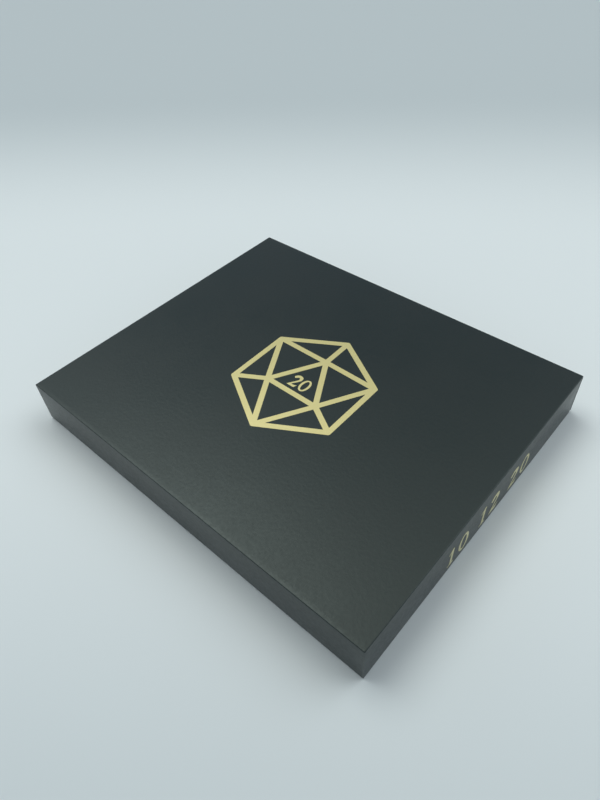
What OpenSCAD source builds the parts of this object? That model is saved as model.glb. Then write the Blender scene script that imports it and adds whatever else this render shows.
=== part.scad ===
// Folding dice tray: a felt-lined tray that closes into a flat, paper-wrapped box.
// The lid has a top and three full-depth walls that slip down over the tray.
// A spine board joins lid and tray along the back with two mitred paper folds,
// so the lid swings right over and lies on the table as a second rolling area.
//
// Frame: millimetres, +Z up, origin at the middle of the underside.
// The front (-Y) opens and the spine stands at the back (+Y).

/* [Case] */
// Width of the closed box, along the spine
case_w = 240; // [180:1:320]
// Depth of the closed box, from front to spine
case_d = 199; // [150:1:280]
// Height of the closed box
case_h = 28.5; // [24:0.5:45]
// Radius of the wrapped outer edges
edge_r = 0.8; // [0.5:0.1:1.1]

/* [Board and paper] */
// Thickness of the grey board in the lid, spine, bottom and walls
board_t = 2; // [1.8:0.1:2.6]
// Thickness of the covering paper
paper_t = 0.3; // [0.2:0.05:0.4]

/* [Folds] */
// Width of each mitre gap, measured along the panel
mitre_gap = 0.6; // [0.5:0.05:1]
// Reach of each paper fold from its corner onto the two panels
fold_leg = 4; // [3:0.5:8]
// Gap between the back ends of the lid's side walls and the spine
spine_gap = 0.3; // [0.2:0.1:1]
// Border of wrap turned in around the spine's lining
turn_in = 6; // [3:0.5:12]
// Thickness of the lining paper that covers the raw board of the mitres
lining_t = 0.2; // [0.1:0.05:0.25]

/* [Lid] */
// Height of the lid's lower edge above the table
skirt_gap = 0.5; // [0.4:0.1:1.5]
// Thickness of the felt under the lid
lid_felt_t = 0.8; // [0.5:0.1:2]
// Distance from the spine's outer face to the lid felt
lid_felt_setback = 7; // [6:0.5:20]

/* [Tray] */
// Gap between the tray and the lid's side walls, and between the tray and the spine
nest_gap = 0.7; // [0.5:0.1:2]
// Gap in front of the tray, which lets the lid's front wall swing clear
front_gap = 2; // [2:0.1:4]
// Gap between the tray's rim and the lid felt
rim_gap = 0.5; // [0.3:0.1:2]
// Thickness of the tray's own floor board
tray_floor_t = 1.5; // [1:0.1:3]
// Thickness of the felt on the tray's floor
tray_felt_t = 1.2; // [0.8:0.1:3]
// Radius of the tray's wrapped rim
rim_r = 0.6; // [0.4:0.1:0.9]
// Gap between a felt's edge and the wall beside it
felt_gap = 0.3; // [0.2:0.1:1]

/* [Magnets] */
// Diameter of the closure magnets
magnet_d = 10; // [6:0.5:14]
// Thickness of the closure magnets
magnet_t = 1.5; // [1:0.1:1.5]
// Distance between the two magnets of a pair
magnet_span = 140; // [60:1:160]
// Height of the magnets' centres above the table
magnet_z = 15; // [12:0.5:17]
// Clearance of a magnet in its pocket
magnet_fit = 0.1; // [0.05:0.05:0.2]

/* [Hidden] */
$fn = 64;
// Overshoot of cutting shapes past the faces that they open
over = 5;

// Half sizes of the closed box
half_w = case_w / 2;
half_d = case_d / 2;
// A wall is board with paper on both faces
wall_t = board_t + 2 * paper_t;
// A covered panel is board with paper on its outer face
panel_t = board_t + paper_t;

// Inside of the lid's walls, and the underside of the lid board
lid_in_w = half_w - wall_t;
lid_in_d = half_d - wall_t;
lid_board_z = case_h - panel_t;
// Back ends of the lid's side walls
lid_wall_end = half_d - wall_t - spine_gap;
// Inner edge of the lid's mitre, which lies over the bottom panel's
mitre_y = half_d - mitre_gap - panel_t;

// Front and back of the tray, and its middle, about which its pieces are drawn
tray_front_y = -lid_in_d + front_gap;
tray_back_y = lid_in_d - nest_gap;
tray_mid_y = (tray_front_y + tray_back_y) / 2;
// Outside and inside of the tray's walls
tray_w = lid_in_w - nest_gap;
tray_d = (tray_back_y - tray_front_y) / 2;
well_w = tray_w - wall_t;
well_d = tray_d - wall_t;
// The tray floor fits between the wall boards
floor_w = well_w + paper_t;
floor_d = well_d + paper_t;
// Heights of the tray's floor, felt and rim
floor_z = panel_t + tray_floor_t;
rim_z = lid_board_z - lid_felt_t - rim_gap;
wall_top_z = rim_z - paper_t;

// Magnet pockets
pocket_d = magnet_d + 2 * magnet_fit;
pocket_depth = magnet_t + magnet_fit;
lid_magnet_y = -half_d + panel_t;
tray_magnet_y = tray_front_y + paper_t;

// Finishes
wrap_colour = [0.21, 0.23, 0.23];
board_colour = [0.55, 0.53, 0.49];
felt_colour = [0.12, 0.13, 0.14];
magnet_colour = [0.75, 0.76, 0.78];

// Box between two opposite corners
module box(low, high) {
    translate(low)
        cube(high - low);
}

// Rectangle between two opposite corners, with round corners
module round_rect(low, high, r) {
    translate([low.x + r, low.y])
        square([high.x - low.x - 2 * r, high.y - low.y]);
    translate([low.x, low.y + r])
        square([high.x - low.x, high.y - low.y - 2 * r]);
    for (x = [low.x + r, high.x - r], y = [low.y + r, high.y - r])
        translate([x, y])
            circle(r);
}

// Outline in (y, z) drawn out along x
module along_x(x0, x1) {
    translate([x0, 0, 0])
        rotate([90, 0, 90])
            linear_extrude(x1 - x0)
                children();
}

// Outline in (x, z) drawn out along y
module along_y(y0, y1) {
    translate([0, y1, 0])
        rotate([90, 0, 0])
            linear_extrude(y1 - y0)
                children();
}

// Box with every edge rounded
module soft_box(low, high, r) {
    intersection() {
        translate([0, 0, low.z])
            linear_extrude(high.z - low.z)
                round_rect([low.x, low.y], [high.x, high.y], r);
        along_y(low.y, high.y)
            round_rect([low.x, low.z], [high.x, high.z], r);
        along_x(low.x, high.x)
            round_rect([low.y, low.z], [high.y, high.z], r);
    }
}

// Outer form of the closed box, or of the board inside its paper at an inset of paper_t
module case_form(inset) {
    soft_box(
        [-half_w + inset, -half_d + inset, inset],
        [half_w - inset, half_d - inset, case_h - inset],
        edge_r - inset
    );
}

// Outer form of the lid, whose lower edge hangs clear of the table
module lid_form(inset) {
    soft_box(
        [-half_w + inset, -half_d + inset, skirt_gap + inset],
        [half_w - inset, half_d - inset, case_h - inset],
        edge_r - inset
    );
}

// Outer form of the bottom panel, which slips inside the lid's walls
module bottom_form(inset) {
    soft_box(
        [-tray_w + inset, tray_front_y + inset, inset],
        [tray_w - inset, half_d - inset, case_h],
        edge_r - inset
    );
}

// Side view of the lid: its walls stop short of the spine and its top ends in a mitre
module lid_zone() {
    along_x(-case_w, case_w)
        polygon([
            [-case_d, skirt_gap],
            [lid_wall_end, skirt_gap],
            [lid_wall_end, case_h - half_d + lid_wall_end + mitre_gap],
            [half_d - mitre_gap, case_h],
            [half_d - mitre_gap, case_h + over],
            [-case_d, case_h + over]
        ]);
}

// Side view of the spine, mitred at both edges
module spine_zone() {
    along_x(-case_w, case_w)
        polygon([
            [half_d - wall_t, wall_t + mitre_gap],
            [half_d, mitre_gap],
            [half_d, case_h - mitre_gap],
            [half_d - wall_t, case_h - wall_t - mitre_gap]
        ]);
}

// Side view of the bottom panel, mitred at its back edge
module bottom_zone() {
    along_x(-case_w, case_w)
        polygon([
            [-case_d, 0],
            [half_d - mitre_gap, 0],
            [half_d - mitre_gap - panel_t, panel_t],
            [-case_d, panel_t]
        ]);
}

// Covering paper of the whole closed box
module case_skin() {
    difference() {
        case_form(0);
        case_form(paper_t);
    }
}

// Strip of covering paper that bends where the lid meets the spine
module upper_strip() {
    intersection() {
        case_skin();
        box(
            [-half_w + edge_r, half_d - fold_leg, case_h - fold_leg],
            [half_w - edge_r, half_d, case_h]
        );
    }
}

// Strip of covering paper that bends where the spine meets the bottom
module lower_strip() {
    intersection() {
        case_skin();
        box(
            [-tray_w + edge_r, half_d - fold_leg, 0],
            [tray_w - edge_r, half_d, fold_leg]
        );
    }
}

// Lining paper on a mitre that rises towards the back from (y, z).
// It lies under the slope where side is 1, and on it where side is -1.
module mitre_lining(half, y, z, rise, side) {
    off = side * lining_t / sqrt(2);
    along_x(-half, half)
        polygon([
            [y, z],
            [y + rise, z + rise],
            [y + rise + off, z + rise - off],
            [y + off, z - off]
        ]);
}

// Turns a shape at the top of the closed box over to the bottom
module at_bottom() {
    translate([0, 0, case_h])
        mirror([0, 0, 1])
            children();
}

// Disc lying along y, used for magnets and their pockets
module disc_pair(diameter, y0, y1) {
    for (side = [-1, 1])
        translate([side * magnet_span / 2, y1, magnet_z])
            rotate([90, 0, 0])
                cylinder(d = diameter, h = y1 - y0);
}

// Bottom board of the case, with its mitred back edge
module bottom_board() {
    color(board_colour)
        intersection() {
            bottom_form(paper_t);
            bottom_zone();
        }
}

// Paper under the bottom board, turned up round its three free edges
module bottom_wrap() {
    color(wrap_colour)
        difference() {
            intersection() {
                bottom_form(0);
                bottom_zone();
            }
            bottom_form(paper_t);
            lower_strip();
        }
}

// Lining paper on the bottom board's mitre
module bottom_lining() {
    color(wrap_colour)
        at_bottom()
            mitre_lining(tray_w - paper_t, mitre_y, lid_board_z, board_t - lining_t, 1);
}

// Moves a shape drawn about the tray's middle to its place in the case
module in_tray() {
    translate([0, tray_mid_y, 0])
        children();
}

// Floor board of the tray, glued to the bottom board between the walls
module tray_floor_board() {
    color(board_colour)
        in_tray()
            box([-floor_w, -floor_d, panel_t], [floor_w, floor_d, floor_z]);
}

// Front or back wall board of the tray, over its full width
module tray_long_wall() {
    box(
        [-floor_w - board_t, floor_d, panel_t],
        [floor_w + board_t, floor_d + board_t, wall_top_z]
    );
}

// Side wall board of the tray, fitted between the front and back walls
module tray_short_wall() {
    box([floor_w, -floor_d, panel_t], [floor_w + board_t, floor_d, wall_top_z]);
}

// Front wall board, with pockets for the magnets in its outer face
module tray_front_wall() {
    color(board_colour)
        difference() {
            in_tray()
                mirror([0, 1, 0])
                    tray_long_wall();
            disc_pair(pocket_d, tray_magnet_y - over, tray_magnet_y + pocket_depth);
        }
}

module tray_back_wall() {
    color(board_colour)
        in_tray()
            tray_long_wall();
}

module tray_left_wall() {
    color(board_colour)
        in_tray()
            mirror([1, 0, 0])
                tray_short_wall();
}

module tray_right_wall() {
    color(board_colour)
        in_tray()
            tray_short_wall();
}

// Section of the tray's well: straight walls that roll over into the rim
module well_section(half) {
    translate([-half, floor_z])
        square([2 * half, rim_z - floor_z + over]);
    difference() {
        translate([-half - rim_r, rim_z - rim_r])
            square([2 * (half + rim_r), rim_r + over]);
        for (side = [-1, 1])
            translate([side * (half + rim_r), rim_z - rim_r])
                circle(rim_r);
    }
}

// Open space inside the tray
module tray_well() {
    intersection() {
        along_y(-case_d, case_d)
            well_section(well_w);
        along_x(-case_w, case_w)
            well_section(well_d);
    }
}

// Paper round the tray's walls, over the rim and down to the floor
module tray_wrap() {
    color(wrap_colour)
        in_tray()
            difference() {
                intersection() {
                    soft_box([-tray_w, -tray_d, -over], [tray_w, tray_d, rim_z], rim_r);
                    box([-case_w, -case_d, panel_t], [case_w, case_d, case_h]);
                }
                tray_well();
                box([-floor_w, -floor_d, panel_t - over], [floor_w, floor_d, floor_z]);
                for (side = [0, 1]) {
                    mirror([0, side, 0])
                        tray_long_wall();
                    mirror([side, 0, 0])
                        tray_short_wall();
                }
            }
}

// Rolling surface of the tray
module tray_felt() {
    color(felt_colour)
        in_tray()
            box(
                [-well_w + felt_gap, -well_d + felt_gap, floor_z],
                [well_w - felt_gap, well_d - felt_gap, floor_z + tray_felt_t]
            );
}

// Magnets in the tray's front wall, level with its outer face
module tray_magnets() {
    color(magnet_colour)
        disc_pair(magnet_d, tray_magnet_y, tray_magnet_y + magnet_t);
}

// Board of the spine, mitred at both edges
module spine_board() {
    color(board_colour)
        intersection() {
            case_form(paper_t);
            spine_zone();
            box([-case_w, half_d - panel_t, 0], [case_w, half_d, case_h]);
        }
}

// Paper glued over the turned-in edges on the inside of the spine
module spine_sheet() {
    intersection() {
        spine_zone();
        box(
            [-half_w + turn_in, half_d - wall_t, 0],
            [half_w - turn_in, half_d - panel_t, case_h]
        );
    }
}

// Lining paper on one mitre of the spine
module spine_flap() {
    mitre_lining(
        half_w - paper_t,
        half_d - wall_t,
        case_h - wall_t - mitre_gap,
        panel_t - lining_t,
        -1
    );
}

// Lining of the spine, which runs on over both its mitres
module spine_lining() {
    color(wrap_colour) {
        spine_sheet();
        spine_flap();
        at_bottom()
            spine_flap();
    }
}

// Paper on the back of the spine, turned in round its two ends
module spine_wrap() {
    color(wrap_colour)
        difference() {
            intersection() {
                case_form(0);
                spine_zone();
            }
            spine_board();
            spine_sheet();
            upper_strip();
            lower_strip();
        }
}

module upper_fold() {
    color(wrap_colour)
        upper_strip();
}

module lower_fold() {
    color(wrap_colour)
        lower_strip();
}

// Top board of the lid, with its mitred back edge
module lid_board() {
    color(board_colour)
        intersection() {
            lid_form(paper_t);
            lid_zone();
            box([-case_w, -case_d, lid_board_z], [case_w, case_d, case_h]);
        }
}

// Front wall board of the lid, without its pockets
module lid_front_blank() {
    intersection() {
        lid_form(paper_t);
        box([-case_w, -case_d, 0], [case_w, -half_d + panel_t, lid_board_z]);
    }
}

// Side wall board of the lid, fitted behind the front wall
module lid_side_wall() {
    intersection() {
        lid_form(paper_t);
        box(
            [half_w - panel_t, -half_d + panel_t, 0],
            [half_w, lid_wall_end - paper_t, lid_board_z]
        );
    }
}

// Front wall board of the lid, with pockets for the magnets in its inner face
module lid_front_wall() {
    color(board_colour)
        difference() {
            lid_front_blank();
            disc_pair(pocket_d, lid_magnet_y - pocket_depth, lid_magnet_y + over);
        }
}

module lid_left_wall() {
    color(board_colour)
        mirror([1, 0, 0])
            lid_side_wall();
}

module lid_right_wall() {
    color(board_colour)
        lid_side_wall();
}

// Paper over the lid's top and walls, turned in up the inside of the walls
module lid_wrap() {
    color(wrap_colour)
        difference() {
            intersection() {
                lid_form(0);
                lid_zone();
            }
            box([-lid_in_w, -lid_in_d, -over], [lid_in_w, case_d, lid_board_z]);
            lid_board();
            lid_front_blank();
            lid_left_wall();
            lid_right_wall();
            upper_strip();
        }
}

// Lining paper on the lid's mitre and on the bare board behind its felt
module lid_lining() {
    color(wrap_colour) {
        mitre_lining(half_w - paper_t, mitre_y, lid_board_z, board_t - lining_t, 1);
        box(
            [-lid_in_w + felt_gap, half_d - lid_felt_setback, lid_board_z - lining_t],
            [lid_in_w - felt_gap, mitre_y + lining_t * (sqrt(2) - 1), lid_board_z]
        );
    }
}

// Felt under the lid, the rolling surface when the lid lies open
module lid_felt() {
    color(felt_colour)
        box(
            [-lid_in_w + felt_gap, -lid_in_d + felt_gap, lid_board_z - lid_felt_t],
            [lid_in_w - felt_gap, half_d - lid_felt_setback, lid_board_z]
        );
}

// Magnets in the lid's front wall, level with its inner face
module lid_magnets() {
    color(magnet_colour)
        disc_pair(magnet_d, lid_magnet_y - magnet_t, lid_magnet_y);
}

bottom_board();
bottom_wrap();
bottom_lining();
tray_floor_board();
tray_front_wall();
tray_back_wall();
tray_left_wall();
tray_right_wall();
tray_wrap();
tray_felt();
tray_magnets();
spine_board();
spine_wrap();
spine_lining();
upper_fold();
lower_fold();
lid_board();
lid_front_wall();
lid_left_wall();
lid_right_wall();
lid_wrap();
lid_lining();
lid_felt();
lid_magnets();
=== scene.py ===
"""Looks of the folding dice tray: its paper covers, felts, foil stamps, studio and camera."""

import logging
import math
from collections.abc import Callable, Iterable
from dataclasses import dataclass
from enum import Enum
from typing import Any

import bmesh
import bpy
from bmesh.types import BMEdge, BMesh, BMVert
from mathutils import Matrix, Quaternion, Vector, noise
from mathutils.geometry import interpolate_bezier


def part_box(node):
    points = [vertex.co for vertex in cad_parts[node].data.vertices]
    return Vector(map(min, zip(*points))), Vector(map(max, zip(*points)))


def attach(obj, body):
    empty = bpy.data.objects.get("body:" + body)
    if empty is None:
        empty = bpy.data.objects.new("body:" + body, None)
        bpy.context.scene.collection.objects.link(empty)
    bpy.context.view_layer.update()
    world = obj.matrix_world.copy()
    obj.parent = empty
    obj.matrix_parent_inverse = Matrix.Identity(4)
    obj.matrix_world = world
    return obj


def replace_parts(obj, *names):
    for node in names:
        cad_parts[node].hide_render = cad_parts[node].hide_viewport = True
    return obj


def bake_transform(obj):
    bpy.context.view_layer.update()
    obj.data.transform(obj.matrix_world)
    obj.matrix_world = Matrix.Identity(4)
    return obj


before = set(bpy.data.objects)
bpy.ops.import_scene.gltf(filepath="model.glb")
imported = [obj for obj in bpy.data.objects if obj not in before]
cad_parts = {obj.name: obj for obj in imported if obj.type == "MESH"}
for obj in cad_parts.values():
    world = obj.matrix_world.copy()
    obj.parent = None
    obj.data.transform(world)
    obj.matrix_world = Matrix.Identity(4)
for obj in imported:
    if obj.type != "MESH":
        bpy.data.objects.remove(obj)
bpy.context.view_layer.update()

LOG = logging.getLogger("dice_tray")

MM = 0.001
# Two points nearer than this count as one place
NEAR = 0.02 * MM
# A cut this near to a point goes through it
SNAP = NEAR / 4
# Thickness of stamped foil, which the covers leave free inside the frame's box
FOIL_T = 0.03 * MM

# Sockets of a Mix node, given by place because several have one name: for colours and for numbers
SHARE, TINT_A, TINT_B, TINT = 0, 6, 7, 2
NUMBER_A, NUMBER_B, NUMBER = 2, 3, 0

Tree = bpy.types.NodeTree
Socket = bpy.types.NodeSocket
# Value, or socket to link, for each input of a node
Inputs = dict[str | int, Any]


class Axis(Enum):
    """Axes of the frame."""

    X = 0
    Y = 1
    Z = 2


class Body(Enum):
    """Moving bodies of the frame."""

    BASE = "base"
    SPINE = "spine"
    LID = "lid"


class Slot(Enum):
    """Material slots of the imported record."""

    WRAP = "wrap_paper"
    FELT = "felt"
    FOIL = "gold_foil"


def linear(hex_colour: str) -> tuple[float, float, float, float]:
    """Turns an sRGB hex colour into linear light.

    Args:
        hex_colour: colour written as #RRGGBB.

    Returns:
        Red, green, blue and an alpha of 1.
    """
    parts = [int(hex_colour[place : place + 2], 16) / 255 for place in (1, 3, 5)]
    light = [p / 12.92 if p <= 0.04045 else ((p + 0.055) / 1.055) ** 2.4 for p in parts]
    return (*light, 1.0)


def add_node(
    tree: Tree,
    kind: str,
    inputs: Inputs | None = None,
    **settings: Any,
) -> bpy.types.Node:
    """Adds one shader node with its settings, values and links.

    Args:
        tree: node tree that takes the node.
        kind: Blender's name for the kind of node.
        inputs: value, or socket to link, for each input.
        **settings: properties of the node.

    Returns:
        The new node.
    """
    made = tree.nodes.new(kind)
    for name, value in settings.items():
        setattr(made, name, value)
    for key, value in (inputs or {}).items():
        if isinstance(value, Socket):
            tree.links.new(value, made.inputs[key])
        else:
            made.inputs[key].default_value = value
    return made


def per_metre(size_mm: float) -> float:
    """Scale of a texture whose features are the given size in millimetres."""
    return 1 / (size_mm * MM)


@dataclass(frozen=True)
class Finish:
    """A surface finish, which makes its material once."""

    name: str

    def material(self) -> bpy.types.Material:
        """Gives the finish's material, made on the first call.

        Returns:
            The material, with its textures on the pieces' own coordinates.
        """
        found = bpy.data.materials.get(self.name)
        if found is not None:
            return found
        made = bpy.data.materials.new(self.name)
        made.use_nodes = True
        tree = made.node_tree
        tree.nodes.clear()
        place = add_node(tree, "ShaderNodeTexCoord").outputs["Object"]
        shader = add_node(tree, "ShaderNodeBsdfPrincipled", self.paint(tree, place))
        add_node(tree, "ShaderNodeOutputMaterial", {"Surface": shader.outputs["BSDF"]})
        return made

    def paint(self, tree: Tree, place: Socket) -> Inputs:
        """Adds the finish's textures.

        Args:
            tree: the material's nodes.
            place: coordinates on the piece, in metres.

        Returns:
            What the shader's inputs take.
        """
        raise NotImplementedError


@dataclass(frozen=True)
class CoveringPaper(Finish):
    """Printed book-binding paper with a matt film: dark, satin, with a very fine tooth.

    The film gives a soft broad sheen that brightens at grazing angles. The board under it
    telegraphs as a faint waviness, and handling leaves it a little uneven in gloss.
    """

    colour: str = "#151E1F"
    worn_colour: str = "#1A2526"
    roughness: float = 0.35
    uneven: float = 0.05
    film_gloss: float = 0.53
    film_tint: str = "#F2FFF8"
    # The paper's tooth is finer than a pixel, so it is drawn several times its size
    tooth_mm: float = 1.8
    tooth_strength: float = 0.6
    # Broad clouds and tooth make a mottle: the tooth's share in it, and the range of it that shows
    cloud_mm: float = 38.0
    tooth_share: float = 0.6
    mottle_range: tuple[float, float] = (0.35, 0.65)
    wave_mm: float = 26.0
    wave_strength: float = 0.12
    relief: float = 0.1 * MM

    def paint(self, tree: Tree, place: Socket) -> Inputs:
        """Adds tooth, mottled colour, uneven gloss and board waviness.

        Args:
            tree: the material's nodes.
            place: coordinates on the piece, in metres.

        Returns:
            What the shader's inputs take.
        """
        cloud = add_node(
            tree,
            "ShaderNodeTexNoise",
            {"Vector": place, "Scale": per_metre(self.cloud_mm), "Detail": 4.0, "Roughness": 0.55},
        )
        tooth = add_node(
            tree,
            "ShaderNodeTexNoise",
            {"Vector": place, "Scale": per_metre(self.tooth_mm), "Detail": 3.0, "Roughness": 0.6},
        )
        wave = add_node(
            tree, "ShaderNodeTexNoise", {"Vector": place, "Scale": per_metre(self.wave_mm), "Detail": 1.0}
        )
        mottle = add_node(
            tree,
            "ShaderNodeMix",
            {SHARE: self.tooth_share, NUMBER_A: cloud.outputs["Fac"], NUMBER_B: tooth.outputs["Fac"]},
        )
        low, high = self.mottle_range
        share = add_node(
            tree, "ShaderNodeMapRange", {"Value": mottle.outputs[NUMBER], "From Min": low, "From Max": high}
        )
        colour = add_node(
            tree,
            "ShaderNodeMix",
            {SHARE: share.outputs["Result"], TINT_A: linear(self.colour), TINT_B: linear(self.worn_colour)},
            data_type="RGBA",
        )
        gloss = add_node(
            tree,
            "ShaderNodeMapRange",
            {
                "Value": share.outputs["Result"],
                "To Min": self.roughness + self.uneven,
                "To Max": self.roughness - self.uneven,
            },
        )
        waviness = add_node(
            tree,
            "ShaderNodeBump",
            {"Height": wave.outputs["Fac"], "Strength": self.wave_strength, "Distance": self.relief},
        )
        bump = add_node(
            tree,
            "ShaderNodeBump",
            {
                "Height": tooth.outputs["Fac"],
                "Strength": self.tooth_strength,
                "Distance": self.relief,
                "Normal": waviness.outputs["Normal"],
            },
        )
        return {
            "Base Color": colour.outputs[TINT],
            "Roughness": gloss.outputs["Result"],
            "Specular IOR Level": self.film_gloss,
            "Specular Tint": linear(self.film_tint),
            "Normal": bump.outputs["Normal"],
        }


@dataclass(frozen=True)
class GreyBoard(Finish):
    """Uncoated grey board made from waste paper: matt, warm grey, with flecks of fibre."""

    colour: str = "#8E897E"
    fleck_colour: str = "#6D695F"
    fleck_mm: float = 0.7
    roughness: float = 0.9
    relief: float = 0.08 * MM
    strength: float = 0.4

    def paint(self, tree: Tree, place: Socket) -> Inputs:
        """Adds the flecks, for colour and tooth.

        Args:
            tree: the material's nodes.
            place: coordinates on the piece, in metres.

        Returns:
            What the shader's inputs take.
        """
        fleck = add_node(
            tree, "ShaderNodeTexNoise", {"Vector": place, "Scale": per_metre(self.fleck_mm), "Detail": 4.0}
        )
        colour = add_node(
            tree,
            "ShaderNodeMix",
            {SHARE: fleck.outputs["Fac"], TINT_A: linear(self.colour), TINT_B: linear(self.fleck_colour)},
            data_type="RGBA",
        )
        bump = add_node(
            tree,
            "ShaderNodeBump",
            {"Height": fleck.outputs["Fac"], "Strength": self.strength, "Distance": self.relief},
        )
        return {
            "Base Color": colour.outputs[TINT],
            "Roughness": self.roughness,
            "Normal": bump.outputs["Normal"],
        }


@dataclass(frozen=True)
class PressedFelt(Finish):
    """Needled wool-blend felt: matt and dark, with matted fibres and a soft nap that catches light."""

    colour: str = "#1B1F22"
    nap_colour: str = "#343A3E"
    # Real fibres are finer; they are drawn this coarse so that they show in the render
    fibre_mm: float = 0.5
    matting_mm: float = 4.0
    # Range of fibre and matting together that shows
    nap_range: tuple[float, float] = (0.12, 0.42)
    roughness: float = 0.95
    sheen: float = 0.25
    sheen_roughness: float = 0.5
    relief: float = 0.25 * MM
    strength: float = 0.8

    def paint(self, tree: Tree, place: Socket) -> Inputs:
        """Adds matted fibres, for colour and nap.

        Args:
            tree: the material's nodes.
            place: coordinates on the piece, in metres.

        Returns:
            What the shader's inputs take.
        """
        matting = add_node(
            tree,
            "ShaderNodeTexNoise",
            {"Vector": place, "Scale": per_metre(self.matting_mm), "Detail": 2.0},
        )
        fibre = add_node(
            tree,
            "ShaderNodeTexNoise",
            {
                "Vector": place,
                "Scale": per_metre(self.fibre_mm),
                "Detail": 5.0,
                "Roughness": 0.7,
                "Distortion": 1.5,
            },
        )
        mixed = add_node(
            tree,
            "ShaderNodeMath",
            {0: fibre.outputs["Fac"], 1: matting.outputs["Fac"]},
            operation="MULTIPLY",
        )
        low, high = self.nap_range
        share = add_node(
            tree, "ShaderNodeMapRange", {"Value": mixed.outputs["Value"], "From Min": low, "From Max": high}
        )
        colour = add_node(
            tree,
            "ShaderNodeMix",
            {SHARE: share.outputs["Result"], TINT_A: linear(self.colour), TINT_B: linear(self.nap_colour)},
            data_type="RGBA",
        )
        bump = add_node(
            tree,
            "ShaderNodeBump",
            {"Height": mixed.outputs["Value"], "Strength": self.strength, "Distance": self.relief},
        )
        return {
            "Base Color": colour.outputs[TINT],
            "Roughness": self.roughness,
            "Sheen Weight": self.sheen,
            "Sheen Roughness": self.sheen_roughness,
            "Normal": bump.outputs["Normal"],
        }


@dataclass(frozen=True)
class GoldFoil(Finish):
    """Hot-stamped pale gold foil: metal on paper, satin from the paper's tooth under it.

    Its pigmented film scatters part of the light, so it isn't wholly metallic. The clear
    lacquer over it reflects white light at grazing angles, which makes it paler there.
    """

    colour: str = "#E8DC9A"
    deep_colour: str = "#DED18C"
    roughness: float = 0.42
    uneven: float = 0.06
    metallic: float = 0.6
    lacquer: float = 1.0
    lacquer_roughness: float = 0.3
    tooth_mm: float = 0.5
    patch_mm: float = 9.0
    relief: float = 0.02 * MM
    strength: float = 0.2

    def paint(self, tree: Tree, place: Socket) -> Inputs:
        """Adds patchy colour and gloss and the paper's tooth.

        Args:
            tree: the material's nodes.
            place: coordinates on the piece, in metres.

        Returns:
            What the shader's inputs take.
        """
        patch = add_node(
            tree, "ShaderNodeTexNoise", {"Vector": place, "Scale": per_metre(self.patch_mm), "Detail": 3.0}
        )
        tooth = add_node(
            tree, "ShaderNodeTexNoise", {"Vector": place, "Scale": per_metre(self.tooth_mm), "Detail": 3.0}
        )
        colour = add_node(
            tree,
            "ShaderNodeMix",
            {SHARE: patch.outputs["Fac"], TINT_A: linear(self.colour), TINT_B: linear(self.deep_colour)},
            data_type="RGBA",
        )
        gloss = add_node(
            tree,
            "ShaderNodeMapRange",
            {
                "Value": patch.outputs["Fac"],
                "To Min": self.roughness - self.uneven,
                "To Max": self.roughness + self.uneven,
            },
        )
        bump = add_node(
            tree,
            "ShaderNodeBump",
            {"Height": tooth.outputs["Fac"], "Strength": self.strength, "Distance": self.relief},
        )
        return {
            "Base Color": colour.outputs[TINT],
            "Metallic": self.metallic,
            "Roughness": gloss.outputs["Result"],
            "Coat Weight": self.lacquer,
            "Coat Roughness": self.lacquer_roughness,
            "Normal": bump.outputs["Normal"],
        }


@dataclass(frozen=True)
class NickelPlate(Finish):
    """Bright nickel plate on sintered magnets: smooth metal with faint tumbling marks."""

    colour: str = "#C9C8C2"
    dull_colour: str = "#B4B3AE"
    mark_mm: float = 1.2
    # Roughness between the marks and on them
    bright: float = 0.18
    dull: float = 0.32

    def paint(self, tree: Tree, place: Socket) -> Inputs:
        """Adds the tumbling marks, for colour and gloss.

        Args:
            tree: the material's nodes.
            place: coordinates on the piece, in metres.

        Returns:
            What the shader's inputs take.
        """
        mark = add_node(
            tree, "ShaderNodeTexNoise", {"Vector": place, "Scale": per_metre(self.mark_mm), "Detail": 3.0}
        )
        colour = add_node(
            tree,
            "ShaderNodeMix",
            {SHARE: mark.outputs["Fac"], TINT_A: linear(self.colour), TINT_B: linear(self.dull_colour)},
            data_type="RGBA",
        )
        gloss = add_node(
            tree,
            "ShaderNodeMapRange",
            {"Value": mark.outputs["Fac"], "To Min": self.bright, "To Max": self.dull},
        )
        return {
            "Base Color": colour.outputs[TINT],
            "Metallic": 1.0,
            "Roughness": gloss.outputs["Result"],
        }


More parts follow.
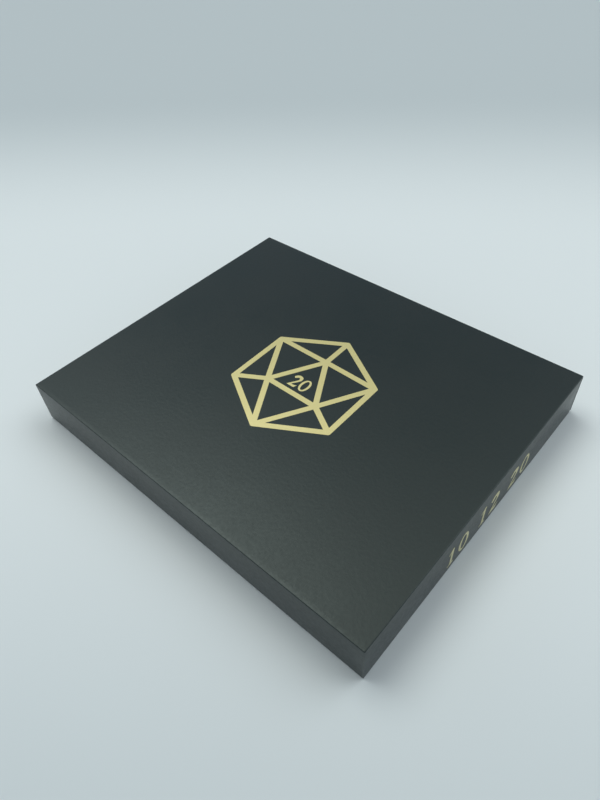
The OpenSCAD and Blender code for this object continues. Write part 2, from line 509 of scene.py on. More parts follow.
@dataclass(frozen=True)
class StudioPaper(Finish):
    """Matt pale blue-grey background paper with a painted pool of light: palest in a band by the object, and
    a little darker, as painted shade, in front of and behind it.
    """

    # Painted light: the pale colour paints a pool of light on the paper by the object, the far colour paints
    # shade further out
    colour: str = "#F2F8F8"
    painted_far_shade_colour: str = "#CCD5D7"
    # Painted pool of light: middle of its palest band, the way across the band, how far it reaches and how
    # long it is; beyond it the paper is painted darker as shade
    light_pool_middle_mm: tuple[float, float, float] = (-51.0, 74.0, 0.0)
    heading_deg: float = 125.0
    near_mm: float = 110.0
    far_mm: float = 420.0
    stretch: float = 4.0
    roughness: float = 0.85
    gloss: float = 0.2

    def paint(self, tree: Tree, place: Socket) -> Inputs:
        """Adds the colour, by the distance from the pale band: a painted pool of light that fades to painted
        shade further out.

        Args:
            tree: the material's nodes.
            place: coordinates on the floor, in metres.

        Returns:
            What the shader's inputs take.
        """
        across = add_node(
            tree,
            "ShaderNodeMapping",
            {
                "Vector": place,
                "Location": Vector(self.light_pool_middle_mm) * MM,
                "Rotation": (0, 0, math.radians(self.heading_deg)),
                "Scale": (1, self.stretch, 1),
            },
            vector_type="TEXTURE",
        )
        distance = add_node(tree, "ShaderNodeVectorMath", {0: across.outputs["Vector"]}, operation="LENGTH")
        share = add_node(
            tree,
            "ShaderNodeMapRange",
            {
                "Value": distance.outputs["Value"],
                "From Min": self.near_mm * MM,
                "From Max": self.far_mm * MM,
            },
            interpolation_type="SMOOTHSTEP",
        )
        # Painted pool of light and shade: the colour fades from the pale band to the darker far colour
        colour = add_node(
            tree,
            "ShaderNodeMix",
            {SHARE: share.outputs["Result"], TINT_A: linear(self.colour), TINT_B: linear(self.painted_far_shade_colour)},
            data_type="RGBA",
        )
        return {
            "Base Color": colour.outputs[TINT],
            "Roughness": self.roughness,
            "Specular IOR Level": self.gloss,
        }


PAPER = CoveringPaper("matt_laminated_paper")
BOARD = GreyBoard("uncoated_grey_board")
FELT = PressedFelt("pressed_wool_felt")
FOIL = GoldFoil("pale_gold_foil")
NICKEL = NickelPlate("nickel_plate")
# The background paper's colour paints a pool of light by the object and shade further out
BACKGROUND = StudioPaper("background_paper_painted_light")


@dataclass(frozen=True)
class CaseSizes:
    """Sizes that the covers share, measured on the frame, in metres."""

    half_width: float
    front: float
    back: float
    top: float
    skirt: float
    wall: float
    paper: float
    edge: float
    mitre: float
    fold_leg: float

    @classmethod
    def from_frame(cls) -> "CaseSizes":
        """Measures the frame's nodes.

        Returns:
            The sizes.
        """
        lid_low, lid_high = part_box("lid_wrap")
        board_low, board_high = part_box("spine_board")
        fold_low, fold_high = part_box("upper_fold")
        back = fold_high.y
        paper = back - board_high.y
        return cls(
            half_width=lid_high.x,
            front=lid_low.y,
            back=back,
            top=lid_high.z,
            skirt=lid_low.z,
            wall=back - board_low.y + paper,
            paper=paper,
            edge=lid_high.x - fold_high.x,
            mitre=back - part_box("lid_board")[1].y - paper,
            fold_leg=back - fold_low.y,
        )


@dataclass
class PaperForm:
    """A sheet of covering paper, cut and folded from a box and given its thickness last."""

    low: Vector
    high: Vector

    def __post_init__(self) -> None:
        """Starts from a box between the two corners."""
        self.mesh: BMesh = bmesh.new()
        bmesh.ops.create_cube(self.mesh, size=1.0)
        size = self.high - self.low
        bmesh.ops.scale(self.mesh, vec=size, verts=self.mesh.verts)
        bmesh.ops.translate(self.mesh, vec=(self.low + self.high) / 2, verts=self.mesh.verts)

    def soften(self, wanted: Callable[[Vector], bool], radius: float, segments: int = 5) -> None:
        """Rounds the edges whose middles are wanted.

        Args:
            wanted: test of an edge's middle.
            radius: radius of the rounded edge.
            segments: faces across the round.
        """
        edges = [e for e in self.mesh.edges if wanted(middle(e))]
        bmesh.ops.bevel(
            self.mesh,
            geom=edges,
            offset=radius,
            offset_type="OFFSET",
            segments=segments,
            profile=0.5,
            affect="EDGES",
            material=-1,
        )

    def split(self, point: Vector, normal: Vector) -> None:
        """Creases the sheet along a plane."""
        parts = [*self.mesh.verts, *self.mesh.edges, *self.mesh.faces]
        bmesh.ops.bisect_plane(self.mesh, geom=parts, dist=SNAP, plane_co=point, plane_no=normal)

    def split_at(self, axis: Axis, *places: float) -> None:
        """Creases the sheet square to an axis at each place.

        Args:
            axis: axis that the creases are square to.
            *places: where they are along it.
        """
        for place in places:
            point, normal = Vector(), Vector()
            point[axis.value] = place
            normal[axis.value] = 1.0
            self.split(point, normal)

    def drop(self, unwanted: Callable[[Vector], bool]) -> None:
        """Cuts away the faces whose middles are unwanted."""
        faces = [f for f in self.mesh.faces if unwanted(f.calc_center_median())]
        bmesh.ops.delete(self.mesh, geom=faces, context="FACES")

    def turn(self, wanted: Callable[[Vector], bool], move: Callable[[Vector], Vector]) -> None:
        """Folds the sheet on from its open edges.

        Args:
            wanted: test of an open edge's middle.
            move: gives a new point of the turned sheet from a point of the edge.
        """
        edges = [e for e in self.mesh.edges if e.is_boundary and wanted(middle(e))]
        for vert in new_verts(bmesh.ops.extrude_edge_only(self.mesh, edges=edges)["geom"]):
            vert.co = move(vert.co)

    def cap(self, wanted: Callable[[Vector], bool], outward: Vector) -> None:
        """Closes an end of the sheet with one flat face.

        Args:
            wanted: test of a middle of the open edges round the end.
            outward: way that the face looks.
        """
        edges = [e for e in self.mesh.edges if e.is_boundary and wanted(middle(e))]
        corners = list(dict.fromkeys(vert for edge in edges for vert in edge.verts))
        made = bmesh.ops.contextual_create(self.mesh, geom=corners)["faces"]
        self.mesh.normal_update()
        turned = [face for face in made if face.normal.dot(outward) < 0]
        bmesh.ops.reverse_faces(self.mesh, faces=turned)

    def thicken(self, paper: float) -> BMesh:
        """Gives the sheet its thickness on the inside.

        Args:
            paper: thickness of the paper.

        Returns:
            The finished mesh.
        """
        bmesh.ops.remove_doubles(self.mesh, verts=self.mesh.verts, dist=NEAR)
        bmesh.ops.dissolve_degenerate(self.mesh, edges=self.mesh.edges, dist=SNAP)
        bmesh.ops.solidify(self.mesh, geom=self.mesh.faces[:], thickness=paper)
        return self.mesh


@dataclass
class PaperStrip:
    """A strip of paper along the spine, bent step by step from one edge to the other."""

    half: float
    start_y: float
    start_z: float

    def __post_init__(self) -> None:
        """Starts at one edge, at the strip's left end."""
        self.mesh: BMesh = bmesh.new()
        self.tip = [self.mesh.verts.new((-self.half, self.start_y, self.start_z))]

    def run(self, along_y: float, along_z: float) -> None:
        """Carries the strip on straight."""
        self.tip = bmesh.ops.extrude_vert_indiv(self.mesh, verts=self.tip)["verts"]
        bmesh.ops.translate(self.mesh, vec=Vector((0, along_y, along_z)), verts=self.tip)

    def bend(self, axis_y: float, axis_z: float, angle: float, steps: int = 10) -> None:
        """Bends the strip round an axis along the spine.

        Args:
            axis_y: the axis's place towards the back.
            axis_z: the axis's height.
            angle: angle of the bend, in radians.
            steps: faces round the bend.
        """
        arc = bmesh.ops.spin(
            self.mesh,
            geom=self.tip,
            cent=Vector((0, axis_y, axis_z)),
            axis=Vector((1, 0, 0)),
            dvec=Vector(),
            angle=angle,
            steps=steps,
        )
        self.tip = new_verts(arc["geom_last"])

    def thicken(self, paper: float, toward: Vector) -> BMesh:
        """Draws the strip out to its width and gives it its thickness on one side.

        Args:
            paper: thickness of the paper.
            toward: side that the thickness goes to.

        Returns:
            The finished mesh.
        """
        far = new_verts(bmesh.ops.extrude_edge_only(self.mesh, edges=self.mesh.edges[:])["geom"])
        bmesh.ops.translate(self.mesh, vec=Vector((2 * self.half, 0, 0)), verts=far)
        self.mesh.normal_update()
        if sum(face.normal.dot(toward) for face in self.mesh.faces) > 0:
            bmesh.ops.reverse_faces(self.mesh, faces=self.mesh.faces[:])
        bmesh.ops.solidify(self.mesh, geom=self.mesh.faces[:], thickness=paper)
        return self.mesh


def middle(edge: BMEdge) -> Vector:
    """Gives the middle of an edge."""
    return (edge.verts[0].co + edge.verts[1].co) / 2


def new_verts(made: Iterable[Any]) -> list[BMVert]:
    """Picks the vertices out of what an operator made."""
    return [part for part in made if isinstance(part, BMVert)]


def add_piece(
    mesh: BMesh,
    name: str,
    finish: Finish,
    smooth_deg: float = 40.0,
) -> bpy.types.Object:
    """Turns a finished mesh into a piece of the object.

    Args:
        mesh: finished mesh, in metres, in the frame. It is freed.
        name: the piece's name.
        finish: the piece's finish.
        smooth_deg: edges sharper than this stay crisp.

    Returns:
        The new object, which rides on nothing yet.
    """
    data = bpy.data.meshes.new(name)
    mesh.to_mesh(data)
    mesh.free()
    data.polygons.foreach_set("use_smooth", [True] * len(data.polygons))
    data.set_sharp_from_angle(angle=math.radians(smooth_deg))
    data.materials.append(finish.material())
    piece = bpy.data.objects.new(name, data)
    bpy.context.scene.collection.objects.link(piece)
    LOG.info("piece %s: %d faces", name, len(data.polygons))
    return piece


def dress(finish: Finish, *nodes: str) -> None:
    """Gives frame nodes that stay in view a finish.

    Args:
        finish: the finish.
        *nodes: names of the nodes.
    """
    for node in nodes:
        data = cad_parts[node].data
        data.materials.clear()
        data.materials.append(finish.material())
        LOG.info("node %s: %s", node, finish.name)


@dataclass
class Lid:
    """Lid: a paper cover over its top and three walls, and a felt underneath."""

    case: CaseSizes
    # Radius of the cover's folded edges, which are pressed tight
    crease: float = 0.45 * MM

    def build(self) -> None:
        """Builds the cover and felt and dresses the boards and magnets."""
        cover = add_piece(self.cover(), "lid_cover", PAPER)
        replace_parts(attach(cover, Body.LID.value), "lid_wrap")
        FeltSheet("lid_felt", "lid_felt_sheet", Body.LID, "lid_board", face_up=False).lay()
        dress(BOARD, "lid_board", "lid_front_wall", "lid_left_wall", "lid_right_wall")
        dress(NICKEL, "lid_magnets")
        dress(PAPER, "lid_lining")

    def cover(self) -> BMesh:
        """Folds the cover: over the top, down the walls, round their edges and up inside.

        Returns:
            The finished mesh.
        """
        case = self.case
        width, front, back, top = case.half_width, case.front, case.back, case.top
        inner_width, inner_front = width - case.wall, front + case.wall
        wall_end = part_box("lid_left_wall")[1].y + case.paper
        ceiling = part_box("lid_board")[0].z
        fold_start = back - case.fold_leg

        def behind_mitre(point: Vector) -> bool:
            """Tells whether a point is past the mitre of the lid's board."""
            return (back - case.mitre - point.y) < (top - point.z)

        form = PaperForm(
            Vector((-width + FOIL_T, front + FOIL_T, case.skirt)),
            Vector((width - FOIL_T, back - FOIL_T, top - FOIL_T)),
        )
        form.soften(lambda point: True, self.crease)
        form.split_at(Axis.X, -inner_width, inner_width, case.edge - width, width - case.edge)
        form.split_at(Axis.Y, inner_front, wall_end, fold_start)
        form.split(Vector((0, back - case.mitre, top)), Vector((0, -1, 1)))
        form.drop(lambda p: p.y > wall_end and behind_mitre(p))
        form.drop(lambda p: p.z > top - case.paper and p.y > fold_start and abs(p.x) < width - case.edge)
        form.drop(lambda p: p.z < case.skirt + NEAR and abs(p.x) < inner_width and p.y > inner_front)
        form.turn(
            lambda p: p.z < case.skirt + NEAR and p.y < wall_end - NEAR,
            lambda p: Vector((p.x, p.y, ceiling)),
        )
        for side in (-1, 1):
            form.cap(
                lambda p: abs(p.y - wall_end) < NEAR and p.x * side > inner_width - NEAR,
                outward=Vector((0, 1, 0)),
            )
        return form.thicken(case.paper)


@dataclass
class Spine:
    """Spine: a paper cover, a lining, and the two paper folds to lid and base."""

    case: CaseSizes
    # How far the cover is turned in round each end, under the lining
    turn_in: float = 6.0 * MM
    # How far from its corner a paper fold bends, in radii of the corner
    bend_reach: float = 1.25

    def build(self) -> None:
        """Builds the cover and folds and dresses the board and lining."""
        cover = add_piece(self.cover(), "spine_cover", PAPER)
        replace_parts(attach(cover, Body.SPINE.value), "spine_wrap")
        dress(BOARD, "spine_board")
        dress(PAPER, "spine_lining")
        self.fold("upper_fold", upper=True)
        self.fold("lower_fold", upper=False)

    def cover(self) -> BMesh:
        """Folds the cover: across the back and round both ends to the inside.

        Returns:
            The finished mesh.
        """
        case = self.case
        width, back, top = case.half_width, case.back, case.top
        inner = back - case.wall
        turned = width - self.turn_in
        lower_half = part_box("lower_fold")[1].x
        upper_half = width - case.edge

        def past_mitres(point: Vector) -> bool:
            """Tells whether a point is past a mitre of the spine's board."""
            reach = back - point.y + case.mitre
            return point.z < reach or top - point.z < reach

        def at_fold(point: Vector) -> bool:
            """Tells whether a point is where a paper fold lies."""
            above = point.z > top - case.fold_leg and abs(point.x) < upper_half
            below = point.z < case.fold_leg and abs(point.x) < lower_half
            return point.y >= back - case.paper and (above or below)

        form = PaperForm(Vector((-width + FOIL_T, inner, 0)), Vector((width - FOIL_T, back - FOIL_T, top)))
        form.soften(lambda p: p.y > back - case.paper, case.edge)
        form.soften(lambda p: p.y < inner + NEAR and abs(p.x) > width - case.paper, case.paper, 3)
        form.split_at(Axis.X, -lower_half, lower_half, -turned, turned)
        form.split_at(Axis.Z, case.fold_leg, top - case.fold_leg)
        form.split(Vector((0, back, case.mitre)), Vector((0, 1, 1)))
        form.split(Vector((0, back, top - case.mitre)), Vector((0, 1, -1)))
        form.drop(past_mitres)
        form.drop(at_fold)
        form.drop(lambda p: p.y < inner + NEAR and abs(p.x) < turned)
        return form.thicken(case.paper)

    def fold(self, node: str, upper: bool) -> None:
        """Makes one paper fold, a strip bent round the corner from the spine to its neighbour.

        Args:
            node: the frame's node that the fold stands for.
            upper: whether it is the fold at the lid.
        """
        case = self.case
        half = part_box(node)[1].x
        corner = case.top if upper else 0.0
        into = -1.0 if upper else 1.0
        leg, radius = case.fold_leg, case.edge
        paper = PaperStrip(half, case.back - FOIL_T, corner + into * leg)
        paper.run(0, -into * (leg - radius))
        paper.bend(case.back - radius, corner + into * radius, -into * math.pi / 2)
        paper.run(-(leg - radius), 0)
        mesh = paper.thicken(case.paper, toward=Vector((0, -1, into)))
        strip = add_piece(mesh, f"{node}_paper", PAPER)
        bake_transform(strip)
        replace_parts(strip, node)


@dataclass
class Base:
    """Base: the covered bottom panel and the felt-lined tray that is glued to it."""

    case: CaseSizes
    # Radius of the paper over the tray's rim
    rim: float = 0.6 * MM

    def build(self) -> None:
        """Builds both covers and the felt and dresses the boards and magnets."""
        under = add_piece(self.bottom_cover(), "bottom_cover", PAPER)
        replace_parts(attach(under, Body.BASE.value), "bottom_wrap")
        round_tray = add_piece(self.tray_cover(), "tray_cover", PAPER)
        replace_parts(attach(round_tray, Body.BASE.value), "tray_wrap")
        FeltSheet("tray_felt", "tray_felt_sheet", Body.BASE, "tray_floor_board", face_up=True).lay()
        walls = (f"tray_{side}_wall" for side in ("front", "back", "left", "right"))
        dress(BOARD, "bottom_board", "tray_floor_board", *walls)
        dress(NICKEL, "tray_magnets")
        dress(PAPER, "bottom_lining")

    def bottom_cover(self) -> BMesh:
        """Folds the bottom panel's cover: under the board and up its three free edges.

        Returns:
            The finished mesh.
        """
        case = self.case
        low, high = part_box("bottom_wrap")
        half, back = high.x, case.back
        fold_start = back - case.fold_leg
        lower_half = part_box("lower_fold")[1].x

        form = PaperForm(low, Vector((half, back, high.z + case.edge)))
        form.soften(lambda p: p.z < high.z, case.edge)
        form.split_at(Axis.X, -lower_half, lower_half)
        form.split_at(Axis.Y, fold_start)
        form.split_at(Axis.Z, high.z)
        form.split(Vector((0, back - case.mitre, 0)), Vector((0, 1, 1)))
        form.drop(lambda p: p.z > high.z or back - case.mitre - p.y < p.z)
        form.drop(lambda p: p.z < case.paper and p.y > fold_start and abs(p.x) < lower_half)
        return form.thicken(case.paper)

    def tray_cover(self) -> BMesh:
        """Folds the tray's cover: round the walls, over the rim and down to the floor.

        Returns:
            The finished mesh.
        """
        case = self.case
        low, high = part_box("tray_wrap")
        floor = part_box("tray_floor_board")[1].z
        inner_low = low + Vector((case.wall, case.wall, 0))
        inner_high = high - Vector((case.wall, case.wall, 0))

        def outside(point: Vector) -> bool:
            """Tells whether a point is over the walls and not over the well."""
            return not (inner_low.x < point.x < inner_high.x and inner_low.y < point.y < inner_high.y)

        form = PaperForm(low, high)
        form.drop(lambda p: p.z < low.z + NEAR)
        form.split_at(Axis.X, inner_low.x, inner_high.x)
        form.split_at(Axis.Y, inner_low.y, inner_high.y)
        form.drop(lambda p: p.z > high.z - NEAR and not outside(p))
        form.turn(
            lambda p: p.z > high.z - NEAR,
            lambda p: Vector((p.x, p.y, floor)),
        )
        flat = math.radians(1)
        bmesh.ops.dissolve_limit(
            form.mesh, angle_limit=flat, verts=form.mesh.verts[:], edges=form.mesh.edges[:]
        )
        form.soften(lambda p: p.z > high.z - NEAR, self.rim)
        return form.thicken(case.paper)


@dataclass(frozen=True)
class FeltSheet:
    """A felt sheet, glued flat in a frame node's place.

    Attributes:
        node: the frame's felt.
        name: the new piece's name.
        body: body that it rides on.
        support: node that it is glued to; not used.
        face_up: whether its nap faces up.
        cells_per_metre: fineness of its mesh.
        nap: how far its surface rises and falls.
        dimple_mm: size of the dimples in it.
    """

    node: str
    name: str
    body: Body
    support: str
    face_up: bool
    cells_per_metre: int = 420
    nap: float = 0.08 * MM
    dimple_mm: float = 7.0

    def lay(self) -> None:
        """Builds the sheet with its dimpled nap and lays it in place."""
        low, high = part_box(self.node)
        size = high - low
        mesh = bmesh.new()
        bmesh.ops.create_grid(
            mesh,
            x_segments=round(size.x * self.cells_per_metre),
            y_segments=round(size.y * self.cells_per_metre),
            size=0.5,
        )
        bmesh.ops.scale(mesh, vec=Vector((size.x, size.y, 1)), verts=mesh.verts)
        outer = high.z - self.nap if self.face_up else low.z + self.nap
        centre = Vector(((low.x + high.x) / 2, (low.y + high.y) / 2, outer))
        bmesh.ops.translate(mesh, vec=centre, verts=mesh.verts)
        for vert in mesh.verts:
            vert.co.z += self.nap * noise.noise(vert.co * per_metre(self.dimple_mm))
        if not self.face_up:
            bmesh.ops.reverse_faces(mesh, faces=mesh.faces[:])
        bmesh.ops.solidify(mesh, geom=mesh.faces[:], thickness=size.z - 2 * self.nap)
        sheet = add_piece(mesh, self.name, FELT)
        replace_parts(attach(sheet, self.body.value), self.node)


@dataclass(frozen=True)
class PenNumerals:
    """Numerals drawn as with a broad pen, measured in heights of a numeral."""

    # Outlines, clockwise; a point that is given twice is a sharp corner
    one: tuple[tuple[float, float], ...] = (
        (0.00, 0.78), (0.00, 0.78), (0.21, 1.00), (0.21, 1.00), (0.31, 1.00), (0.31, 1.00),
        (0.30, 0.50), (0.32, 0.10), (0.43, 0.05), (0.43, 0.00), (0.43, 0.00), (0.03, 0.00),
        (0.03, 0.00), (0.03, 0.05), (0.14, 0.10), (0.16, 0.50), (0.15, 0.82), (0.15, 0.82),
        (0.04, 0.74), (0.04, 0.74),
    )
    two: tuple[tuple[float, float], ...] = (
        (0.02, 0.76), (0.02, 0.76), (0.17, 0.95), (0.36, 1.00), (0.55, 0.93), (0.61, 0.75),
        (0.55, 0.57), (0.26, 0.17), (0.26, 0.17), (0.44, 0.16), (0.63, 0.24), (0.63, 0.24),
        (0.55, 0.00), (0.55, 0.00), (0.02, 0.00), (0.02, 0.00), (0.36, 0.52), (0.43, 0.70),
        (0.33, 0.82), (0.13, 0.65), (0.13, 0.65),
    )
    zero_outer: tuple[float, float] = (0.32, 0.50)
    zero_inner: tuple[float, float] = (0.17, 0.39)
    # Points along each curve and straight line of an outline, and round the 0
    curve_points: int = 5
    line_points: int = 2
    ring_points: int = 28
    # A curve's handle is this part of the way between its point's neighbours
    handle_part: float = 6.0

    def row(self, text: str, gap: float, space: float) -> BMesh:
        """Draws a row of the numerals 0, 1 and 2.

        Args:
            text: numerals and spaces.
            gap: distance between two numerals.
            space: width of a space, besides the gap.

        Returns:
            Flat mesh in the XY plane, facing +Z, of height 1 and with its middle at the origin.
        """
        mesh = bmesh.new()
        reach = 0.0
        for letter in text:
            if letter == " ":
                reach += space
                continue
            if letter == "0":
                glyph = self.ring(mesh)
            else:
                glyph = self.outline(mesh, self.one if letter == "1" else self.two)
            bmesh.ops.translate(mesh, vec=Vector((reach, 0, 0)), verts=glyph)
            reach = max(vert.co.x for vert in glyph) + gap
        bmesh.ops.translate(mesh, vec=Vector(((gap - reach) / 2, -0.5, 0)), verts=mesh.verts)
        mesh.normal_update()
        bmesh.ops.reverse_faces(mesh, faces=[face for face in mesh.faces if face.normal.z < 0])
        return mesh

    def outline(self, mesh: BMesh, points: tuple[tuple[float, float], ...]) -> list[BMVert]:
        """Fills a smooth outline.

        Args:
            mesh: mesh that takes it.
            points: the outline's points.

        Returns:
            Its vertices.
        """
        corners = [Vector((x, y, 0)) for x, y in points]
        verts: list[BMVert] = []
        for place, start in enumerate(corners):
            before, end = corners[place - 1], corners[(place + 1) % len(corners)]
            after = corners[(place + 2) % len(corners)]
            if start == end:
                continue
            lead = start + (end - before) / self.handle_part
            trail = end - (after - start) / self.handle_part
            straight = before == start and after == end
            steps = self.line_points if straight else self.curve_points
            curve = interpolate_bezier(start, lead, trail, end, steps)
            verts += [mesh.verts.new(point) for point in curve[:-1]]
        mesh.faces.new(verts)
        return verts

    def ring(self, mesh: BMesh) -> list[BMVert]:
        """Draws the 0.

        Args:
            mesh: mesh that takes it.

        Returns:
            Its vertices.
        """
        verts: list[BMVert] = []
        for size in (self.zero_outer, self.zero_inner):
            loop = bmesh.ops.create_circle(mesh, segments=self.ring_points, radius=1.0)["verts"]
            bmesh.ops.scale(mesh, vec=Vector((*size, 1)), verts=loop)
            verts += loop
        bmesh.ops.translate(mesh, vec=Vector((*self.zero_outer, 0)), verts=verts)
        edges = list(dict.fromkeys(edge for vert in verts for edge in vert.link_edges))
        bmesh.ops.bridge_loops(mesh, edges=edges)
        return verts


PEN = PenNumerals()


@dataclass
class FoilStamps:
    """Gold foil on the lid: a line drawing of a die with its number, and a row of numbers."""

    case: CaseSizes
    # Middle of the die on the lid
    die_x: float = 1.2 * MM
    die_y: float = -0.8 * MM
    # Radius of the die's outline and of its front face, to the middles of the lines
    outline_r: float = 40.6 * MM
    face_r: float = 20.6 * MM
    line: float = 3.3 * MM
    blunt: float = 0.7 * MM
    # Height of the number on the die, and its middle from the die's middle
    number_h: float = 9.6 * MM
    number_x: float = -0.4 * MM
    number_y: float = -1.8 * MM
    number_text: str = "20"
    # Row of numbers on the right wall: its size, and its middle along and up the wall
    row_w: float = 78.0 * MM
    row_h: float = 14.4 * MM
    row_y: float = 3.5 * MM
    row_z: float = 11.4 * MM
    row_text: str = "10 12 20"
    # Gaps between numerals and width of a space, in heights of a numeral
    number_gap: float = 0.08
    row_gap: float = 0.25
    row_space: float = 0.55

    def build(self) -> None:
        """Stamps the die, its number and the row."""
        surface = self.case.top - FOIL_T
        on_lid = Matrix.Translation((self.die_x, self.die_y, surface))
        self.stamp(self.die(), "foil_die", on_lid)
        on_face = Matrix.Translation((self.number_x, self.number_y, 0))
        number = PEN.row(self.number_text, gap=self.number_gap, space=0.0)
        bmesh.ops.scale(number, vec=Vector.Fill(3, self.number_h), verts=number.verts)
        self.stamp(number, "foil_die_number", on_lid @ on_face)
        # The row reads along +Y, stands up along +Z and faces +X
        along_wall = Matrix(((0, 0, 1, 0), (1, 0, 0, 0), (0, 1, 0, 0), (0, 0, 0, 1)))
        place = Matrix.Translation((self.case.half_width - FOIL_T, self.row_y, self.row_z))
        row = PEN.row(self.row_text, gap=self.row_gap, space=self.row_space)
        wide = 2 * max(vert.co.x for vert in row.verts)
        bmesh.ops.scale(row, vec=Vector((self.row_w / wide, self.row_h, 1)), verts=row.verts)
        self.stamp(row, "foil_side_numbers", place @ along_wall)

    def stamp(self, mesh: BMesh, name: str, place: Matrix) -> None:
        """Presses a flat mesh into foil on the lid.

        Args:
            mesh: flat mesh that faces +Z.
            name: the piece's name.
            place: where it goes.
        """
        mesh.normal_update()
        raised = new_verts(bmesh.ops.extrude_face_region(mesh, geom=mesh.faces[:])["geom"])
        bmesh.ops.translate(mesh, vec=Vector((0, 0, FOIL_T)), verts=raised)
        bmesh.ops.recalc_face_normals(mesh, faces=mesh.faces[:])
        bmesh.ops.transform(mesh, matrix=place, verts=mesh.verts)
        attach(add_piece(mesh, name, FOIL, smooth_deg=20.0), Body.LID.value)

    def die(self) -> BMesh:
        """Draws a twenty-sided die in line, seen square to one face.

        Returns:
            Flat mesh that faces +Z, with its middle at the origin.
        """
        mesh = bmesh.new()
        bmesh.ops.create_icosphere(mesh, subdivisions=1, radius=1.0)
        mesh.normal_update()
        front = max(mesh.faces, key=lambda face: face.normal.z)
        facing = front.normal.rotation_difference(Vector((0, 0, 1))).to_matrix()
        bmesh.ops.rotate(mesh, matrix=facing, verts=mesh.verts)
        tip = front.verts[0].co
        upright = Matrix.Rotation(math.pi / 2 - math.atan2(tip.y, tip.x), 3, "Z")
        bmesh.ops.rotate(mesh, matrix=upright, verts=mesh.verts)
        mesh.normal_update()
        hidden = [f for f in mesh.faces if f.normal.z < 0]
        bmesh.ops.delete(mesh, geom=hidden, context="FACES")
        near_face = set(max(mesh.faces, key=lambda face: face.normal.z).verts)
        for vert in mesh.verts:
            radius = self.face_r if vert in near_face else self.outline_r
            vert.co = vert.co.xy.normalized().to_3d() * radius
        mesh.normal_update()
        panes = mesh.faces[:]
        bmesh.ops.inset_individual(mesh, faces=panes, thickness=self.line / 2, use_even_offset=True)
        bmesh.ops.delete(mesh, geom=panes, context="FACES")
        # The outline's edges have their middles further out than all others
        furthest_inner = self.outline_r * 0.85
        rim = [e for e in mesh.edges if e.is_boundary and middle(e).length > furthest_inner]
        outer = new_verts(bmesh.ops.extrude_edge_only(mesh, edges=rim)["geom"])
        reach = 1 + self.line / 2 / math.cos(math.pi / 6) / self.outline_r
        bmesh.ops.scale(mesh, vec=Vector((reach, reach, 1)), verts=outer)
        bmesh.ops.bevel(
            mesh,
            geom=outer,
            offset=self.blunt,
            offset_type="OFFSET",
            segments=2,
            profile=0.5,
            affect="VERTICES",
            material=-1,
        )
        bmesh.ops.recalc_face_normals(mesh, faces=mesh.faces[:])
        if mesh.faces[0].normal.z < 0:
            bmesh.ops.reverse_faces(mesh, faces=mesh.faces[:])
        return mesh


@dataclass(frozen=True)
class SoftLamp:
    """A wide, distant lamp.

    Attributes:
        name: name of the lamp.
        heading_deg: where it stands, from the right of the object towards its back.
        height_deg: how high it stands above the floor.
        width_deg: how wide it looks from the object.
        strength: brightness.
        colour: colour of its light.
    """

    name: str
    heading_deg: float
    height_deg: float
    width_deg: float
    strength: float
    colour: str

    def hang(self) -> None:
        """Puts the lamp in the scene."""
        data = bpy.data.lights.new(self.name, "SUN")
        data.energy = self.strength
        data.color = linear(self.colour)[:3]
        data.angle = math.radians(self.width_deg)
        lamp = bpy.data.objects.new(self.name, data)
        bpy.context.scene.collection.objects.link(lamp)
        tilt = math.radians(90 - self.height_deg)
        lamp.rotation_euler = (0, tilt, math.radians(self.heading_deg))


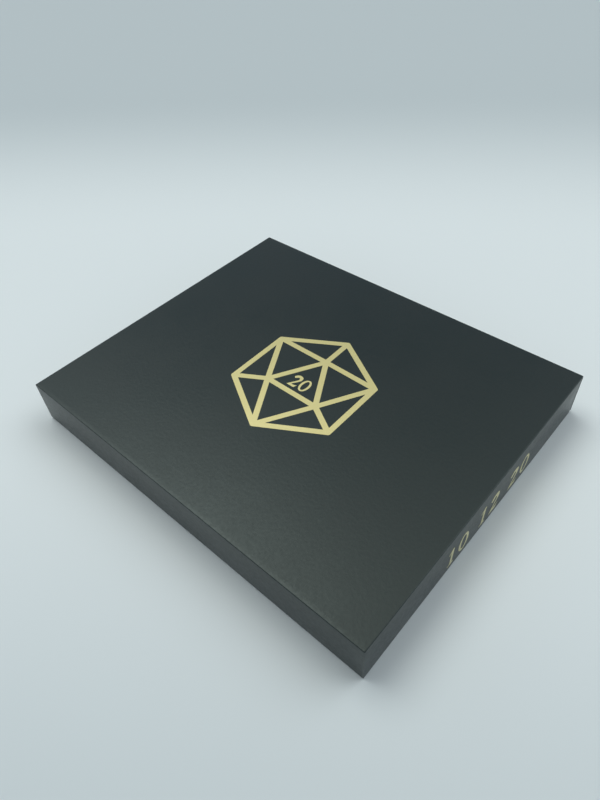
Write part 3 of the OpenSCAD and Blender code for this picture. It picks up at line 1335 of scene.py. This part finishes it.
@dataclass
class Studio:
    """Pale floor, a dim dome, two soft lamps, and the camera."""

    floor_half: float = 6.0
    floor_cells: int = 8
    # Brightness of the dome from the floor to the top, at front and right and at back and left
    heights: tuple[float, ...] = (0.0, 0.3, 0.5, 0.65, 0.8, 0.92, 1.0)
    front_levels: tuple[float, ...] = (0.52, 0.55, 0.3, 0.2, 0.15, 0.12, 0.1)
    back_levels: tuple[float, ...] = (0.52, 0.7, 0.38, 0.12, 0.74, 0.95, 0.3)
    # Colour of the dome at the same heights: cool at the height of a window, warm from the ceiling
    tints: tuple[str, ...] = ("#EEFBFF", "#EAF4FA", "#C2DEFF", "#CAE2FF", "#F0F6FA", "#FFFDF4", "#FFFDF4")
    lamps: tuple[SoftLamp, ...] = (
        SoftLamp(
            "left_lamp",
            heading_deg=180.0,
            height_deg=62.0,
            width_deg=40.0,
            strength=0.96,
            colour="#F8FDFB",
        ),
        SoftLamp(
            "back_lamp",
            heading_deg=60.0,
            height_deg=50.0,
            width_deg=40.0,
            strength=0.67,
            colour="#F5FCFF",
        ),
    )
    # Camera, from the corners of the box in the photograph
    camera_place: Vector = Vector((172.7, -178.2, 269.8)) * MM
    camera_target: Vector = Vector((9.3, -12.5, 28.5)) * MM
    camera_roll_deg: float = -4.35
    lens_mm: float = 27.455
    nearest: float = 0.01
    furthest: float = 50.0

    def build(self) -> None:
        """Makes camera, floor and light."""
        bpy.context.scene.view_settings.view_transform = "Standard"
        self.camera()
        self.floor()
        for lamp in self.lamps:
            lamp.hang()
        self.dome()

    def camera(self) -> None:
        """Sets the camera at the photograph's viewing angle."""
        data = bpy.data.cameras.new("camera")
        data.lens = self.lens_mm
        data.clip_start = self.nearest
        data.clip_end = self.furthest
        holder = bpy.data.objects.new("camera", data)
        bpy.context.scene.collection.objects.link(holder)
        look = (self.camera_target - self.camera_place).to_track_quat("-Z", "Y")
        roll = Quaternion((0, 0, 1), math.radians(self.camera_roll_deg))
        holder.location = self.camera_place
        holder.rotation_mode = "QUATERNION"
        holder.rotation_quaternion = look @ roll
        bpy.context.scene.camera = holder

    def floor(self) -> None:
        """Lays the background paper."""
        mesh = bmesh.new()
        cells = self.floor_cells
        bmesh.ops.create_grid(mesh, x_segments=cells, y_segments=cells, size=self.floor_half)
        data = bpy.data.meshes.new("floor")
        mesh.to_mesh(data)
        mesh.free()
        # Its colour holds a painted pool of light by the object and painted shade further out
        data.materials.append(BACKGROUND.material())
        floor = bpy.data.objects.new("floor", data)
        bpy.context.scene.collection.objects.link(floor)

    def dome(self) -> None:
        """Lights the scene from all round, by height, with more light from the back and left."""
        world = bpy.data.worlds.new("studio")
        bpy.context.scene.world = world
        world.use_nodes = True
        tree = world.node_tree
        tree.nodes.clear()
        direction = add_node(tree, "ShaderNodeTexCoord").outputs["Generated"]
        height = add_node(tree, "ShaderNodeSeparateXYZ", {"Vector": direction}).outputs["Z"]
        flat, back_left = Vector((1, 1, 0)), Vector((-1, 1, 0))
        level = add_node(tree, "ShaderNodeVectorMath", {0: direction, 1: flat}, operation="MULTIPLY")
        heading = add_node(tree, "ShaderNodeVectorMath", {0: level.outputs["Vector"]}, operation="NORMALIZE")
        toward = add_node(
            tree,
            "ShaderNodeVectorMath",
            {0: heading.outputs["Vector"], 1: back_left},
            operation="DOT_PRODUCT",
        )
        share = add_node(
            tree,
            "ShaderNodeMapRange",
            {"Value": toward.outputs["Value"], "From Min": -1.0, "From Max": 1.0},
        )
        front = self.bands(tree, height, self.front_levels)
        back = self.bands(tree, height, self.back_levels)
        light = add_node(
            tree,
            "ShaderNodeMix",
            {SHARE: share.outputs["Result"], TINT_A: front, TINT_B: back},
            data_type="RGBA",
        )
        shining = add_node(tree, "ShaderNodeBackground", {"Color": light.outputs[TINT]})
        add_node(tree, "ShaderNodeOutputWorld", {"Surface": shining.outputs["Background"]})

    def bands(
        self,
        tree: Tree,
        height: Socket,
        levels: tuple[float, ...],
    ) -> Socket:
        """Turns height on the dome into brightness.

        Args:
            tree: the world's nodes.
            height: sine of the angle above the floor.
            levels: brightness at each of the dome's heights.

        Returns:
            The light's colour and brightness.
        """
        ramp = add_node(tree, "ShaderNodeValToRGB", {"Fac": height})
        elements = ramp.color_ramp.elements
        while len(elements) < len(levels):
            elements.new(1.0)
        for element, place, level, tint in zip(elements, self.heights, levels, self.tints):
            element.position = place
            element.color = (*(level * Vector(linear(tint)[:3])), 1.0)
        return ramp.outputs["Color"]


def main() -> None:
    """Builds the studio and then the object, from the base up."""
    logging.basicConfig(level=logging.INFO)
    Studio().build()
    case = CaseSizes.from_frame()
    for part in (Base(case), Spine(case), Lid(case), FoilStamps(case)):
        part.build()


if __name__ == "__main__":
    main()
